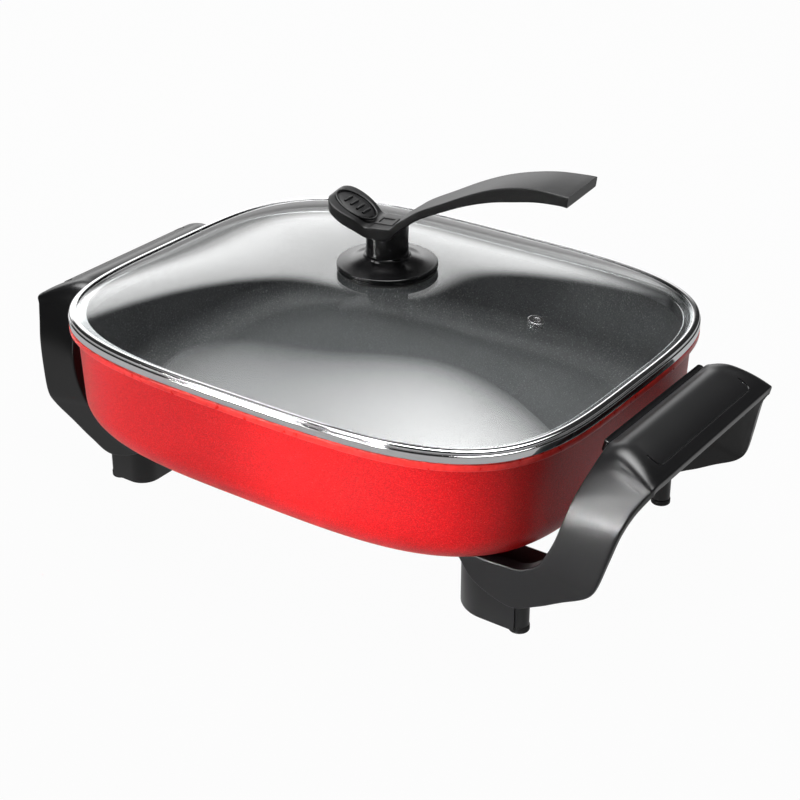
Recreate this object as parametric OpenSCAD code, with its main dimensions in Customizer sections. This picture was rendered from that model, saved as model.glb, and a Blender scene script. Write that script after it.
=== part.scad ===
// Electric skillet: a cast pan carried at both ends by a leg-and-handle moulding,
// heated by a sheathed element under its base, with a lift-off domed glass lid.
// The origin is on the counter under the middle of the pan. +X points to the right
// handle, -Y to the long side that faces the user, +Z up. Millimetres.

/* [Pan] */
// Length of the pan over its lip, handle to handle
pan_len = 356; // [330:1:366]
// Width of the pan over its lip, front to back
pan_wid = 297; // [270:1:330]
// Depth of the pan from the top of its lip to its underside
pan_depth = 74.7; // [66:0.1:90]
// Height of the pan's underside above the counter
pan_clearance = 49; // [46:0.5:60]
// Squareness of the plan outline across the short sides
square_x = 3.5; // [3:0.1:5]
// Squareness of the plan outline across the long sides
square_y = 4; // [3:0.1:5]
// Thickness of the pan's side wall
wall_t = 4; // [3:0.25:6]
// Thickness of the pan's base
base_t = 5; // [4:0.25:8]
// Outer radius between the side wall and the base
bottom_r = 24; // [18:1:34]
// Height of the smooth band round the lip
lip_h = 4.2; // [3:0.2:8]
// How far the lip band stands out from the wall below it
lip_proud = 3.5; // [2:0.25:5]
// Slope of the side wall, as the inset it gains between lip and base radius
wall_draft = 2; // [0:0.25:5]

/* [Lid] */
// Gap between the lid's rim and the pan's lip
lid_gap = 0.3; // [0.3:0.1:1]
// Height of the steel rim round the glass
rim_h = 5.5; // [5:0.25:8]
// How far the rim's skirt hangs into the pan below the rim's underside
skirt_drop = 7; // [3:0.5:10]
// Thickness of the rim's sheet steel
rim_t = 0.8; // [0.6:0.1:1.2]
// Rise of the glass dome above the top of the rim
dome_h = 25.5; // [16:0.5:34]
// Thickness of the glass
glass_t = 3.5; // [3:0.25:4]
// Distance of the steam vent from the middle of the lid
vent_x = 109; // [80:1:125]
// Radius of the steam vent's flange
vent_flange_r = 5; // [4:0.25:7]
// Radius of the steam vent's hole
vent_hole_r = 2; // [1:0.25:2.5]

/* [Lid knob] */
// Distance of the knob's axis from the middle of the lid, along X
knob_x = 2.9; // [0:0.1:4]
// Radius of the knob's round base
knob_r = 31; // [26:0.5:36]
// Thickness of the soft ring between the knob and the glass
gasket_h = 1.5; // [1:0.25:4]
// Thickness of the knob's round base at its edge
disc_h = 3.5; // [3:0.25:6]
// Rise of the round base from its edge to the stem
disc_rise = 4.5; // [2:0.25:6]
// Radius of the stem between the base and the lever
stem_r = 13; // [11:0.1:15]
// Height of the lever's flat middle above the glass
lever_hub_z = 30.5; // [28:0.5:40]
// Direction of the lever, turned from the +X axis toward +Y
lever_turn = 12; // [0:1:30]
// Reach of the lever's blade from the middle of the knob
blade_reach = 121.5; // [100:0.5:140]
// Rise of the blade's highest point above the flat middle
blade_rise = 41; // [30:1:50]
// Width of the blade at its tip
blade_tip_w = 40; // [32:1:46]
// Width of the blade at its narrow part
blade_root_w = 22.5; // [20:0.5:28]
// Reach of the thumb pad from the middle of the knob
pad_reach = 35; // [32:0.5:42]
// Rise of the thumb pad's end above the flat middle
pad_rise = 14; // [9:0.5:18]
// Width of the thumb pad
pad_w = 36; // [28:0.5:38]

/* [Handles] */
// Gap between the end of the pan's lip and the right grip
grip_gap = 13.5; // [10:0.5:20]
// Width of a grip across its top, measured along X
grip_w = 36.5; // [30:0.5:40]
// Height of the grip's inner top edge above the counter
grip_z = 119.5; // [112:0.5:122]
// Fall of the grip from its inner to its outer edge
grip_fall = 9.5; // [6:0.5:14]
// Bulge of the grip's top between its edges
grip_crown = 5; // [3:0.1:7]
// Length of the grip at its inner edge
grip_len_in = 120; // [100:1:130]
// Length of the grip at its outer edge
grip_len_out = 146; // [134:1:156]
// Distance between the outer faces of a handle's two side plates
plate_span = 191; // [180:1:200]
// Wall thickness of the handle mouldings
shell_t = 3; // [2.5:0.25:4]
// Height of the leg shells above the counter
leg_gap = 2; // [1.5:0.25:4]
// How far in from the lip's right end the right foot posts stand
foot_in_right = 22; // [18:0.5:26]
// How far in from the lip's left end the left foot posts stand
foot_in_left = 27; // [18:0.5:30]
// How far in from the lip's right end the right leg shells begin
leg_in_right = 68.5; // [58:0.5:72]
// How far in from the lip's left end the left leg shells begin
leg_in_left = 54; // [52:1:68]
// How much lower the left grip sits than the right one
left_drop = 5.5; // [0:0.5:8]
// How much further in the foot of the left arms stands
left_inward = 4; // [0:0.5:6]
// Distance of the foot posts from the middle of the pan along Y
foot_y = 86; // [82:0.5:86.5]
// Radius of a foot post
post_r = 5.8; // [5:0.1:6.5]
// Height of the rubber foot below the post
foot_h = 4; // [3:0.25:6]

/* [Heating] */
// Radius of the heating element's sheath
element_r = 3.2; // [2.8:0.1:4]
// How far in from the lip's ends the element's loop lies
loop_in_x = 86; // [80:1:96]
// How far in from the lip's long sides the element's loop lies
loop_in_y = 80.5; // [72:0.5:88]
// Radius of the loop's corners
loop_r = 34; // [25:1:40]
// Distance of each terminal pin from the middle of the inlet
pin_y = 14; // [13:0.25:16]
// Radius of a terminal pin
pin_r = 2.4; // [2:0.1:3]
// Length of the terminal pins
pin_len = 33; // [28:0.5:36]
// Radius of the bore that takes the control's probe
probe_bore_r = 3.4; // [3:0.1:4]
// Length of the probe's bore
probe_bore_len = 56; // [48:1:62]
// Inside width of the inlet guard
guard_w = 60; // [54:0.5:64]
// Depth of the inlet guard along X
guard_len = 40; // [36:1:42]
// Height of the inlet guard
guard_h = 18.8; // [18:0.2:22]

/* [Hidden] */

$fn = 48;
outline_sides = 96;
fit_gap = 0.05;
overlap = 1;

// Heights of the pan and lid
lip_z = pan_clearance + pan_depth;
rim_z = lip_z + lid_gap + rim_h;
crown_z = rim_z + dome_h;
half_len = pan_len / 2;
half_wid = pan_wid / 2;

// Insets of the pan and rim, measured from the lip's outline
lip_in = 9;
foot_arc_in = lip_proud + wall_draft;
seat_in = 1.2;
seat_h = 2;
skirt_in = lip_in + 0.6;
glass_in = 3;

// A plan outline drawn in by an inset, at height z
function spread(v, power) = sign(v) * pow(abs(v), 2 / power);
function ring(inset, z, sides = outline_sides) = [
    for (i = [0 : sides - 1]) let (a = 360 * i / sides)
        [(half_len - inset) * spread(cos(a), square_x),
         (half_wid - inset) * spread(sin(a), square_y), z]];

// The quad and end faces of a stack of rings, closed at both ends or round on itself
function side_faces(rows, n, wraps = false) = [
    for (r = [0 : rows - (wraps ? 1 : 2)], i = [0 : n - 1])
        let (j = (i + 1) % n, up = (r + 1) % rows)
            [r * n + i, up * n + i, up * n + j, r * n + j]];
function cap_faces(rows, n) = [
    [for (i = [0 : n - 1]) i],
    [for (i = [n - 1 : -1 : 0]) (rows - 1) * n + i]];
function flat(rows) = [for (row = rows) each row];

// A solid of outlines stacked from the bottom up on the outside and back down inside
module stacked_rings(profile) {
    rows = [for (p = profile) ring(p[0], p[1])];
    polyhedron(flat(rows), concat(side_faces(len(rows), outline_sides),
                                  cap_faces(len(rows), outline_sides)), convexity = 4);
}

// A hoop of a closed section that runs round the outline
module hoop(section) {
    rows = [for (p = section) ring(p[0], p[1])];
    polyhedron(flat(rows), side_faces(len(rows), outline_sides, true), convexity = 6);
}

// ---------------------------------------------------------------- pan

arc_steps = 6;
inner_r = bottom_r - wall_t;
boss_x = half_len - 44;
boss_y = 76;
boss_r = 7;
shelf_z = 43;
washer_t = 1;
screw_r = 2;
screw_depth = 3;
guard_t = 1.2;
sleeve_wall = 1.2;
sleeve_r = probe_bore_r + sleeve_wall;
inlet_z = pan_clearance - guard_t - sleeve_r - 0.2;
element_z = inlet_z;
ridge_w = 11;
ridge_drop = pan_clearance - element_z + 2;
saddle_w = 15;
saddle_drop = sleeve_r + 2.9;
saddle_x = [48 - half_len, 82 - half_len];
ear_screw_x = 54 - half_len;
ear_screw_y = 26;
ear_screw_r = 1.5;
ear_screw_depth = 3;

function outer_arc(k) = let (a = 90 * k / arc_steps)
    [foot_arc_in + bottom_r * (1 - sin(a)), pan_clearance + bottom_r * (1 - cos(a))];
function inner_arc(k) = let (a = 90 * k / arc_steps)
    [foot_arc_in + wall_t + inner_r * (1 - sin(a)),
     pan_clearance + base_t + inner_r * (1 - cos(a))];

pan_profile = concat(
    [for (k = [0 : arc_steps]) outer_arc(k)],
    [[lip_proud, lip_z - lip_h - seat_h],
     [0.4, lip_z - lip_h - seat_h],
     [0, lip_z - lip_h - seat_h + 0.6],
     [0, lip_z - seat_h - 0.8],
     [0.6, lip_z - seat_h],
     [seat_in, lip_z - seat_h],
     [seat_in, lip_z],
     [lip_in, lip_z],
     [lip_in, lip_z - skirt_drop - 2],
     [foot_arc_in + wall_t, pan_clearance + base_t + inner_r + 8]],
    [for (k = [arc_steps : -1 : 0]) inner_arc(k)]);

module pan_body() {
    color("firebrick")
    difference() {
        union() {
            stacked_rings(pan_profile);
            along_loop() translate([-ridge_w / 2, pan_clearance - ridge_drop])
                square([ridge_w, ridge_drop + overlap]);
            lead_ridges();
            at_bosses() translate([0, 0, shelf_z + washer_t])
                cylinder(h = pan_clearance - shelf_z - washer_t + overlap, r = boss_r);
            translate([saddle_x[0], -saddle_w / 2, inlet_z - saddle_drop])
                cube([saddle_x[1] - saddle_x[0], saddle_w,
                      pan_clearance - inlet_z + saddle_drop + overlap]);
        }
        along_loop() translate([0, element_z]) circle(r = element_r + fit_gap);
        mirror_y() lead() circle(r = element_r + fit_gap);
        at_bosses() translate([0, 0, shelf_z]) cylinder(h = pan_clearance - shelf_z + screw_depth,
                                                        r = screw_r + fit_gap);
        at_ears() translate([0, 0, pan_clearance - overlap])
            cylinder(h = ear_screw_depth + overlap, r = ear_screw_r + fit_gap);
        translate([saddle_x[0] - overlap, 0, inlet_z]) rotate([0, 90, 0])
            cylinder(h = saddle_x[1] - saddle_x[0] + 2 * overlap, r = sleeve_r + fit_gap);
    }
}

module mirror_y() {
    children();
    mirror([0, 1, 0]) children();
}

module at_bosses() {
    for (sx = [-1, 1], sy = [-1, 1]) translate([sx * boss_x, sy * boss_y, 0]) children();
}

module at_ears() {
    for (sy = [-1, 1]) translate([ear_screw_x, sy * ear_screw_y, 0]) children();
}

// ---------------------------------------------------------------- heating element

loop_x = half_len - loop_in_x;
loop_y = half_wid - loop_in_y;
lead_bend_r = 12;
lead_start_x = -loop_x - lead_bend_r;
ridge_end_x = lead_start_x - 6;
sheath_end_x = saddle_x[0] - 1;

// A straight bar of the child's section, from p toward heading a, in the XY plane
module bar(p, a, length) {
    translate([p[0], p[1], 0]) rotate([0, 0, a]) rotate([90, 0, 90])
        linear_extrude(length) children();
}

// A bend of the child's section about c
module bend(c, r, from, turn) {
    translate([c[0], c[1], 0]) rotate([0, 0, from]) rotate_extrude(angle = turn)
        translate([r, 0]) children();
}

// The rounded loop that the element follows, up to the bends into its two leads
module along_loop() {
    straight_x = loop_x - loop_r;
    straight_y = loop_y - loop_r;
    first_y = pin_y + lead_bend_r;
    for (sy = [-1, 1]) mirror([0, sy < 0 ? 1 : 0, 0]) {
        bend([-loop_x - lead_bend_r, first_y], lead_bend_r, -90, 90) children();
        bar([-loop_x, first_y], 90, straight_y - first_y) children();
        bend([-straight_x, straight_y], loop_r, 90, 90) children();
        bar([-straight_x, loop_y], 0, 2 * straight_x) children();
        bend([straight_x, straight_y], loop_r, 0, 90) children();
        bar([loop_x, 0], 90, straight_y) children();
    }
}

// One lead, from the inlet to the loop
module lead() {
    bar([sheath_end_x, pin_y], 0, lead_start_x - sheath_end_x) translate([0, element_z])
        children();
}

module lead_ridges() {
    mirror_y() bar([ridge_end_x, pin_y], 0, lead_start_x - ridge_end_x)
        translate([-ridge_w / 2, pan_clearance - ridge_drop])
            square([ridge_w, ridge_drop + overlap]);
}

module heating_element() {
    color("dimgray") {
        along_loop() translate([0, element_z]) circle(r = element_r);
        mirror_y() lead() circle(r = element_r);
    }
}

insulator_r = 4;
insulator_len = 8;
pin_neck_r = pin_r - 0.3;
pin_neck_len = insulator_len + 0.5;

module at_pins(x) {
    for (sy = [-1, 1]) translate([x, sy * pin_y, inlet_z]) rotate([0, -90, 0]) children();
}

module terminal_pins() {
    color("silver") at_pins(sheath_end_x) {
        cylinder(h = pin_neck_len, r = pin_neck_r);
        translate([0, 0, pin_neck_len])
            cylinder(h = pin_len - pin_neck_len - pin_r / 2, r = pin_r);
        translate([0, 0, pin_len - pin_r / 2])
            cylinder(h = pin_r / 2, r1 = pin_r, r2 = pin_r / 2);
    }
}

module pin_insulators() {
    color("ivory") at_pins(sheath_end_x) difference() {
        cylinder(h = insulator_len, r = insulator_r);
        translate([0, 0, -overlap])
            cylinder(h = insulator_len + 2 * overlap, r = pin_neck_r + fit_gap);
    }
}

sleeve_mouth_x = saddle_x[0] - 13;
sleeve_end_t = 3;
collar_r = sleeve_r + 1;
collar_t = 2;

module probe_sleeve() {
    color("silver") translate([sleeve_mouth_x, 0, inlet_z]) rotate([0, 90, 0]) difference() {
        union() {
            cylinder(h = probe_bore_len + sleeve_end_t, r = sleeve_r);
            translate([0, 0, saddle_x[0] - sleeve_mouth_x - collar_t])
                cylinder(h = collar_t, r = collar_r);
        }
        translate([0, 0, -overlap])
            cylinder(h = probe_bore_len + overlap, r = probe_bore_r);
    }
}

guard_back_x = sheath_end_x - 3;
ear_in = 20;

module inlet_guard() {
    mouth_x = guard_back_x - guard_len;
    outer_w = guard_w + 2 * guard_t;
    color("lightgray") difference() {
        union() {
            translate([mouth_x, -outer_w / 2, pan_clearance - guard_h])
                cube([guard_len, outer_w, guard_h]);
            for (sy = [-1, 1]) translate([guard_back_x - guard_t,
                    sy > 0 ? ear_in : -outer_w / 2, pan_clearance - guard_t])
                cube([ear_screw_x + 6 - guard_back_x + guard_t, outer_w / 2 - ear_in, guard_t]);
        }
        translate([mouth_x - overlap, -guard_w / 2, pan_clearance - guard_h + guard_t])
            cube([guard_len - guard_t + overlap, guard_w, guard_h - 2 * guard_t]);
        for (sy = [-1, 1]) translate([guard_back_x - 2 * guard_t, sy * pin_y, inlet_z])
            rotate([0, 90, 0]) cylinder(h = 3 * guard_t, r = insulator_r + fit_gap);
        translate([guard_back_x - 2 * guard_t, 0, inlet_z]) rotate([0, 90, 0])
            cylinder(h = 3 * guard_t, r = sleeve_r + fit_gap);
        at_ears() translate([0, 0, pan_clearance - 2 * guard_t])
            cylinder(h = 3 * guard_t, r = ear_screw_r + fit_gap);
    }
}

// A pan-head screw that points up from its seat
module screw_up(r, length, head_r, head_h) {
    cylinder(h = length, r = r);
    translate([0, 0, -head_h]) cylinder(h = head_h, r = head_r);
}

module guard_screws() {
    color("silver") at_ears() translate([0, 0, pan_clearance - guard_t])
        screw_up(ear_screw_r, guard_t + ear_screw_depth - 0.5, 2.8, 1.8);
}

// ---------------------------------------------------------------- handles

plate_y = plate_span / 2;
grip_in_x = half_len + grip_gap;
grip_out_x = grip_in_x + grip_w;
grip_out_z = grip_z - grip_fall;
shelf_t = 3;

// A side's drop, inward shift, leg shell's start and end, post and corner radius
foot_right = half_len - foot_in_right;
foot_left = half_len - foot_in_left;
right_side = [0, 0, half_len - leg_in_right, foot_right + 0.5, foot_right, 24];
left_side = [left_drop, left_inward, half_len - leg_in_left, foot_left + 0.5, foot_left, 12];

// Stations of one half of a handle, from the tip of the leg up the arm to the middle of
// the grip. Each is its inner edge, its outer edge, the depths of the flanges along both
// edges and the bulge between them.
leg_station = [
    [[grip_in_x - 71, 45], [grip_out_x - 107.5, 39]],
    [[grip_in_x - 62, 45], [grip_out_x - 96.5, 26.5]],
    [[grip_in_x - 52, 45], [grip_out_x - 73.5, 19]],
    [[grip_in_x - 40.5, 45.5], [grip_out_x - 56.5, 25.5]],
    [[grip_in_x - 33, 46], [grip_out_x - 40.5, 34.5]],
    [[grip_in_x - 25, 49.5], [grip_out_x - 26, 42.5]],
    [[grip_in_x - 18.5, 55.5], [grip_out_x - 20.3, 50]]];
arm_station = [
    [[grip_in_x - 11.8, plate_y - 1.7, 69.5], [grip_out_x - 15.7, plate_y - 3.2, 67], 8, 4, 0],
    [[grip_in_x - 8, plate_y - 5, 84], [grip_out_x - 11.5, plate_y - 7.5, 84], 8, 4.5, 0],
    [[grip_in_x - 5.5, plate_y - 11.5, 97], [grip_out_x - 7.5, plate_y - 13, 96], 9, 5, 0.5],
    [[grip_in_x - 2, plate_y - 23.5, 111], [grip_out_x - 3, plate_y - 18.5, 105], 10, 5, 1.5],
    [[grip_in_x, grip_len_in / 2, grip_z], [grip_out_x, grip_len_out / 2, grip_out_z],
     11, 5, grip_crown - 1]];
grip_station = [for (share = [0.8, 0.4, 0])
    [[grip_in_x, share * grip_len_in / 2, grip_z],
     [grip_out_x, share * grip_len_out / 2, grip_out_z], 14, 5, grip_crown]];

// A point of the front half, moved to where its side has it
function seated(p, side) = let (rise = max(0, min(1, (p[2] - shelf_z) / (grip_out_z - shelf_z))))
    [p[0] - side[1] * (1 - rise), -p[1], p[2] - side[0] * rise];
function front_half(side) = concat(
    [for (s = leg_station)
        [seated([s[0][0], plate_y, s[0][1]], side), seated([s[1][0], plate_y, s[1][1]], side),
         8, shell_t, 0]],
    [for (s = concat(arm_station, grip_station))
        [seated(s[0], side), seated(s[1], side), s[2], s[3], s[4]]]);
function to_rear(p) = [p[0], -p[1], p[2]];
function all_stations(side) = let (half = front_half(side))
    concat(half, [for (i = [len(half) - 2 : -1 : 0]) let (s = half[i])
        [to_rear(s[0]), to_rear(s[1]), s[2], s[3], s[4]]]);

// A smooth curve through four stations, a part t of the way from b to c
function eased(a, b, c, d, t) = 0.5 * (2 * b + (c - a) * t + (2 * a - 5 * b + 4 * c - d) * t * t
                                       + (3 * b - a - 3 * c + d) * t * t * t);
function smoothed(list, steps) = let (last = len(list) - 1) concat(
    [for (i = [0 : last - 1], k = [0 : steps - 1])
        [for (j = [0 : len(list[0]) - 1])
            eased(list[max(0, i - 1)][j], list[i][j], list[i + 1][j],
                  list[min(last, i + 2)][j], k / steps)]],
    [list[last]]);

edge_r = 1.2;
crown_steps = 6;
crown_peak = 0.35;

// Height of the bulge at a share u of the way from the inner to the outer edge
function bump(u) = u < crown_peak ? 1 - pow(1 - u / crown_peak, 2)
                                  : 1 - pow((u - crown_peak) / (1 - crown_peak), 2);

// The channel section of the handle at row i of a band, as points in space
function unit(v) = v / norm(v);
function band_row(band, i) =
    let (row = band[i], before = band[max(0, i - 1)], after = band[min(len(band) - 1, i + 1)],
         width = norm(row[1] - row[0]),
         across = unit(row[1] - row[0]),
         run = (after[0] + after[1]) - (before[0] + before[1]),
         out = unit(cross(across, run)),
         e = edge_r, t = shell_t, bulge = row[4],
         section = concat(
             [[0, row[2]], [0, e], [0.3 * e, 0.3 * e]],
             [for (k = [0 : crown_steps]) let (u = k / crown_steps)
                 [e + u * (width - 2 * e), -bulge * bump(u)]],
             [[width - 0.3 * e, 0.3 * e], [width, e], [width, row[3]], [width - t, row[3]]],
             [for (k = [crown_steps : -1 : 0]) let (u = k / crown_steps)
                 [t + u * (width - 2 * t), t - bulge * bump(u)]],
             [[t, row[2]]]))
    [for (p = section) row[0] + across * p[0] - out * p[1]];

module handle_band(side) {
    band = smoothed(all_stations(side), 3);
    rows = [for (i = [0 : len(band) - 1]) band_row(band, i)];
    polyhedron(flat(rows), concat(side_faces(len(rows), len(rows[0])),
                                  cap_faces(len(rows), len(rows[0]))), convexity = 10);
}

// Leg shell: a wall that follows the side plate and turns back under the pan
leg_back_y = 60;
leg_face_y = plate_y - shell_t + 0.5;
shelf_back_y = 67;
shelf_out_x = half_len - 10;

module leg_plan(x_in, x_out, face_y, r) {
    corner = [x_in + r, face_y - r];
    intersection() {
        union() {
            translate(corner) circle(r = r);
            translate([x_in, leg_back_y]) square([r, corner[1] - leg_back_y]);
            translate([corner[0], leg_back_y]) square([x_out - corner[0], face_y - leg_back_y]);
        }
        translate([x_in, leg_back_y]) square([x_out - x_in, face_y - leg_back_y]);
    }
}

module leg(side) {
    x_in = side[2];
    x_out = side[3];
    r = side[5];
    t = shell_t;
    translate([0, 0, leg_gap]) linear_extrude(shelf_z - shelf_t / 2 - leg_gap) difference() {
        leg_plan(x_in, x_out, leg_face_y, r);
        translate([0, -overlap])
            leg_plan(x_in + t, x_out + overlap, leg_face_y - t + overlap, r - t);
    }
    translate([0, 0, shelf_z - shelf_t]) linear_extrude(shelf_t) intersection() {
        leg_plan(x_in, shelf_out_x - side[1], leg_face_y, r);
        translate([x_in, shelf_back_y]) square([shelf_out_x, plate_y - shelf_back_y]);
    }
    translate([side[4], foot_y, foot_h])
        cylinder(h = shelf_z - shelf_t / 2 - foot_h, r = post_r);
}

foot_r = post_r + 0.4;
foot_clear = 0.3;
foot_plug_r = 2.5;
foot_plug_h = 8;

module handle(side) {
    difference() {
        union() {
            handle_band(side);
            mirror_y() leg(side);
        }
        grip_bar(side);
        mirror_y() {
            translate([boss_x, boss_y, shelf_z - shelf_t - overlap])
                cylinder(h = shelf_t + 2 * overlap, r = screw_r + fit_gap);
            translate([side[4], foot_y, foot_h - overlap])
                cylinder(h = foot_plug_h + overlap + 0.5, r = foot_plug_r + fit_gap);
            translate([side[4], foot_y, 0]) cylinder(h = foot_h, r = foot_r + foot_clear);
        }
    }
}

module handle_right() {
    color("#222222") handle(right_side);
}

module handle_left() {
    color("#222222") mirror([1, 0, 0]) handle(left_side);
}

// The trim bar along a grip's inner edge: round ended, with a shallow channel in its top
bar_w = 4.5;
bar_h = 7;
bar_len = grip_len_in - 6;
bar_sunk = 0.6;
bar_rim = 0.8;
grip_tilt = atan2(grip_fall, grip_w);

module round_ended(width, length) {
    square([width, length - width], center = true);
    for (sy = [-1, 1]) translate([0, sy * (length - width) / 2]) circle(r = width / 2);
}

module grip_bar(side) {
    translate([grip_in_x, 0, grip_z - side[0]]) rotate([0, grip_tilt, 0])
        translate([bar_sunk - bar_w / 2, 0, -bar_h - 0.6]) difference() {
            linear_extrude(bar_h) round_ended(bar_w, bar_len);
            translate([0, 0, bar_h - 0.6]) linear_extrude(2)
                round_ended(bar_w - 2 * bar_rim, bar_len - 2 * bar_rim);
        }
}

module grip_bar_right() {
    color("#303030") grip_bar(right_side);
}

module grip_bar_left() {
    color("#303030") mirror([1, 0, 0]) grip_bar(left_side);
}

module heat_washers() {
    color("silver") at_bosses() translate([0, 0, shelf_z]) difference() {
        cylinder(h = washer_t, r = boss_r);
        translate([0, 0, -overlap]) cylinder(h = washer_t + 2 * overlap, r = screw_r + fit_gap);
    }
}

module handle_screws() {
    color("silver") at_bosses() translate([0, 0, shelf_z - shelf_t])
        screw_up(screw_r, shelf_t + pan_clearance - shelf_z + screw_depth - 0.5, 4, 2.6);
}

// A rubber foot with a plug that is pushed up into its post
module foot(x, y) {
    color("#1a1a1a") translate([x, y, 0]) {
        cylinder(h = 1, r1 = foot_r - 0.8, r2 = foot_r);
        translate([0, 0, 1]) cylinder(h = foot_h - 1, r = foot_r);
        cylinder(h = foot_h + foot_plug_h, r = foot_plug_r);
    }
}

module foot_front_right() {
    foot(foot_right, -foot_y);
}

module foot_rear_right() {
    foot(foot_right, foot_y);
}

module foot_front_left() {
    foot(-foot_left, -foot_y);
}

module foot_rear_left() {
    foot(-foot_left, foot_y);
}

// ---------------------------------------------------------------- lid

flat_part = 0.21;
dome_steps = 8;
rim_top_lip = 4.2;
glass_edge_z = rim_z - 1.2;
knob_hole_r = 5;

// Height of the glass's top at a share of the outline's size
function dome(share) = let (u = max(0, (share - flat_part) / (1 - flat_part)))
    glass_edge_z + (crown_z - glass_edge_z) * (1 - u * u);
function glass_ring(share, z) = [
    for (p = ring(glass_in, 0)) [p[0] * share, p[1] * share, z]];
dome_shares = [for (k = [0 : dome_steps]) flat_part + (1 - flat_part) * sin(90 * k / dome_steps)];

module lid_glass() {
    rows = concat(
        [for (k = [0 : dome_steps]) glass_ring(dome_shares[k] * (k == dome_steps ? 1 : 0.985),
                                               dome(dome_shares[k]) - glass_t)],
        [for (k = [dome_steps : -1 : 0]) glass_ring(dome_shares[k], dome(dome_shares[k]))]);
    color([0.7, 0.75, 0.78, 0.35]) difference() {
        polyhedron(flat(rows), concat(side_faces(len(rows), outline_sides),
                                      cap_faces(len(rows), outline_sides)), convexity = 4);
        at_knob(crown_z - glass_t - overlap) cylinder(h = glass_t + 2 * overlap, r = knob_hole_r);
        at_vent() translate([0, 0, -glass_t - 3]) cylinder(h = glass_t + 6, r = vent_tube_r + 0.3);
    }
}

// The rim is one strip of sheet: a double bead outside, its lower edge hung round the step in
// the pan's lip, a lip over the glass edge, a ledge under it and a skirt that drops into the pan
bead_t = 0.9;
bead_gap = 0.6;
bead_low_z = lip_z - seat_h + bead_gap;
groove_z = rim_z - 2.4;
glass_wall_in = glass_in - 2 * fit_gap;
ledge_z = glass_edge_z - glass_t - fit_gap;
lip_under_z = dome(1 - (rim_top_lip - glass_in) / (half_wid - glass_in)) + 2 * fit_gap;
rim_section = [
    [bead_t, rim_z - rim_h], [bead_t, bead_low_z + 0.3], [0.6, bead_low_z], [0, bead_low_z + 0.7],
    [0, groove_z - 0.5], [0.9, groove_z], [0.5, rim_z - 1.5], [0.7, rim_z - 0.6], [1.6, rim_z],
    [3, rim_z + 0.1], [rim_top_lip, lip_under_z + 0.5], [rim_top_lip, lip_under_z],
    [glass_wall_in, glass_edge_z + 2 * fit_gap], [glass_wall_in, ledge_z],
    [skirt_in + rim_t, ledge_z], [skirt_in + rim_t, rim_z - rim_h - skirt_drop],
    [skirt_in, rim_z - rim_h - skirt_drop], [skirt_in, rim_z - rim_h]];

module lid_rim() {
    color("gainsboro") hoop(rim_section);
}

// Steam vent: a rolled eyelet, square to the glass, with a flange above and below it
vent_tube_r = vent_hole_r + 1;
vent_share = vent_x / (half_len - glass_in);
vent_z = dome(vent_share);
vent_rise = (dome(vent_share - 0.01) - dome(vent_share + 0.01)) / (0.02 * (half_len - glass_in));
vent_flange_t = 1;
vent_low = -glass_t - vent_flange_t - 0.7;
vent_high = vent_flange_t + 0.3;

module at_vent() {
    translate([vent_x, 0, vent_z]) rotate([0, atan(vent_rise), 0]) children();
}

module vent_eyelet() {
    color("silver") at_vent() difference() {
        union() {
            translate([0, 0, vent_low]) cylinder(h = vent_high - vent_low, r = vent_tube_r);
            translate([0, 0, vent_high - vent_flange_t])
                cylinder(h = vent_flange_t, r = vent_flange_r);
            translate([0, 0, vent_low]) cylinder(h = vent_flange_t, r = vent_flange_r);
        }
        translate([0, 0, vent_low - overlap])
            cylinder(h = vent_high - vent_low + 2 * overlap, r = vent_hole_r);
    }
}

// ---------------------------------------------------------------- knob

disc_z = crown_z + gasket_h;
edge_z = disc_z + disc_h;
stem_z = edge_z + disc_rise;
hub_z = crown_z + lever_hub_z;
knob_screw_r = 2.5;
knob_screw_hold = 12;
lever_round = 1.2;
tip_slant = 2.2;
tip_hollow = 1.6;
tip_undercut = 0.8;

module at_knob(z) {
    translate([knob_x, 0, z]) children();
}

module at_lever(z) {
    at_knob(z) rotate([0, 0, lever_turn]) children();
}

module knob_gasket() {
    color("#151515") at_knob(crown_z) rotate_extrude() polygon([
        [knob_screw_r + 1, 0], [knob_r - 1, 0], [knob_r - 0.4, 0.5],
        [knob_r - 0.4, gasket_h - 0.4], [knob_r - 1, gasket_h], [knob_screw_r + 1, gasket_h]]);
}

// Stations of the lever, as shares of the pad's reach, rise and width and of the blade's:
// position, top, thickness, width
pad_station = [
    [1, 0.964, 6, 0.42], [0.95, 1, 7.4, 0.67], [0.84, 0.886, 7, 0.92], [0.65, 0.643, 7.5, 1],
    [0.43, 0.343, 7.7, 0.91], [0.26, 0, 6.6, 0.8], [0.12, 0, 7.4, 0.75], [-0.02, 0, 8, 0.72],
    [-0.19, 0.01, 7, 0.68]];
blade_station = [
    [0.085, 0.095, 6.2, 0], [0.14, 0.215, 5.8, 0], [0.207, 0.351, 5.5, 0.06],
    [0.331, 0.534, 5.6, 0.17], [0.455, 0.715, 6.5, 0.28], [0.579, 0.863, 8, 0.32],
    [0.702, 0.956, 8.9, 0.43], [0.826, 1, 8, 0.68], [0.95, 0.99, 6.6, 0.93], [1, 0.978, 6.5, 1]];

// Rows of the lever: position, top, thickness, width, nearness to the tip
pad_rows = [for (s = pad_station)
    [-s[0] * pad_reach, hub_z + s[1] * pad_rise, s[2], s[3] * pad_w, 0]];
blade_rows = [for (s = smoothed(blade_station, 2))
    [s[0] * blade_reach, hub_z + s[1] * blade_rise, s[2],
     blade_root_w + s[3] * (blade_tip_w - blade_root_w), max(0, s[0] - 0.7) / 0.3]];
lever_rows = concat(pad_rows, blade_rows);

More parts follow.
